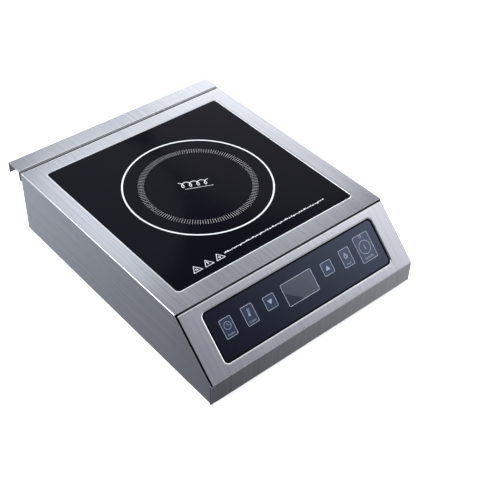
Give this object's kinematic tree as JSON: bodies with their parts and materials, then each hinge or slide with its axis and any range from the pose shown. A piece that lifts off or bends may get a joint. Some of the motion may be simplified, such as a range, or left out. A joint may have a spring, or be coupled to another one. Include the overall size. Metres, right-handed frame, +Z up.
{
  "type": "countertop induction hob",
  "caption": "Low steel box with a flush square black glass top, a sloping front panel of keys and a display window, a shelf-like rear guard and rubber feet.",
  "frame": {"origin": "on the floor under the middle of the outline, rear guard included", "axes": "+X to the right seen from the front, +Y to the rear, +Z up"},
  "size_m": [0.33, 0.425, 0.105],
  "materials": {
    "brushed_steel": "satin stainless steel, brushed front to rear",
    "zinc_steel": "zinc-plated sheet, dull",
    "spring_steel": "bright spring wire",
    "black_glass": "black glass-ceramic, polished, white print",
    "black_silicone": "matt black silicone",
    "overlay_film": "smooth dark blue-black film, semi-gloss",
    "key_film": "blue-grey film with pale printed outline and symbol",
    "smoked_acrylic": "smoked acrylic, polished",
    "black_plastic": "moulded, fine texture",
    "foot_rubber": "matt black rubber",
    "circuit_board": "green solder mask",
    "aluminium": "extruded, satin",
    "copper": "enamelled copper wire",
    "ferrite": "sintered, matt dark grey",
    "mica": "pale mica and ceramic, matt",
    "capacitor_film": "yellow-brown film case"
  },
  "bodies": {
    "housing": {"outer_cover": "brushed_steel", "front_panel": "brushed_steel", "rear_panel": "brushed_steel", "rear_guard": "brushed_steel", "base_pan": "zinc_steel", "glass_plate": "black_glass", "glass_seal": "black_silicone", "glass_support_frame": "zinc_steel", "keypad_overlay": "overlay_film", "display_window": "smoked_acrylic", "control_board": "circuit_board", "display_module": "black_plastic", "control_bracket": "zinc_steel", "ribbon_cable": "black_plastic", "main_board": "circuit_board", "heatsink": "aluminium", "igbt": "black_plastic", "bridge_rectifier": "black_plastic", "resonant_capacitor": "capacitor_film", "filter_capacitor": "capacitor_film", "filter_choke": "copper", "emi_choke": "copper", "transformer": "ferrite", "terminal_block": "mica", "coil_carrier": "black_plastic", "litz_coil": "copper", "mica_sheet": "mica", "temperature_sensor": "mica", "sensor_spring": "spring_steel", "coil_lead_pair": "black_silicone", "fan_frame_left": "black_plastic", "fan_frame_right": "black_plastic", "cord_gland": "black_plastic", "gland_nut": "black_plastic", "ferrite_bar_1": "ferrite", "ferrite_bar_2": "ferrite", "ferrite_bar_3": "ferrite", "ferrite_bar_4": "ferrite", "ferrite_bar_5": "ferrite", "ferrite_bar_6": "ferrite", "coil_post_1": "zinc_steel", "coil_post_2": "zinc_steel", "coil_post_3": "zinc_steel", "foot_1": "foot_rubber", "foot_screw_1": "zinc_steel", "foot_2": "foot_rubber", "foot_screw_2": "zinc_steel", "foot_3": "foot_rubber", "foot_screw_3": "zinc_steel", "foot_4": "foot_rubber", "foot_screw_4": "zinc_steel"},
    "key_timer": {"key_timer": "key_film"},
    "key_temperature": {"key_temperature": "key_film"},
    "key_down": {"key_down": "key_film"},
    "key_up": {"key_up": "key_film"},
    "key_power_level": {"key_power_level": "key_film"},
    "key_on_off": {"key_on_off": "key_film"},
    "fan_rotor_left": {"fan_rotor_left": "black_plastic"},
    "fan_rotor_right": {"fan_rotor_right": "black_plastic"}
  },
  "joints": [
    {"name": "key_timer_press", "type": "slide", "parent": "housing", "child": "key_timer", "axis": [0, 0.6903, -0.7235], "range_m": [0, 0.0004], "stiffness_N_per_m": 4000},
    {"name": "key_temperature_press", "type": "slide", "parent": "housing", "child": "key_temperature", "axis": [0, 0.6903, -0.7235], "range_m": [0, 0.0004], "stiffness_N_per_m": 4000},
    {"name": "key_down_press", "type": "slide", "parent": "housing", "child": "key_down", "axis": [0, 0.6903, -0.7235], "range_m": [0, 0.0004], "stiffness_N_per_m": 4000},
    {"name": "key_up_press", "type": "slide", "parent": "housing", "child": "key_up", "axis": [0, 0.6903, -0.7235], "range_m": [0, 0.0004], "stiffness_N_per_m": 4000},
    {"name": "key_power_level_press", "type": "slide", "parent": "housing", "child": "key_power_level", "axis": [0, 0.6903, -0.7235], "range_m": [0, 0.0004], "stiffness_N_per_m": 4000},
    {"name": "key_on_off_press", "type": "slide", "parent": "housing", "child": "key_on_off", "axis": [0, 0.6903, -0.7235], "range_m": [0, 0.0004], "stiffness_N_per_m": 4000},
    {"name": "fan_rotor_left_spin", "type": "hinge", "parent": "housing", "child": "fan_rotor_left", "pos_m": [-0.075, -0.095, 0.026], "axis": [0, 0, 1], "continuous": true},
    {"name": "fan_rotor_right_spin", "type": "hinge", "parent": "housing", "child": "fan_rotor_right", "pos_m": [0.075, -0.095, 0.026], "axis": [0, 0, 1], "continuous": true}
  ]
}
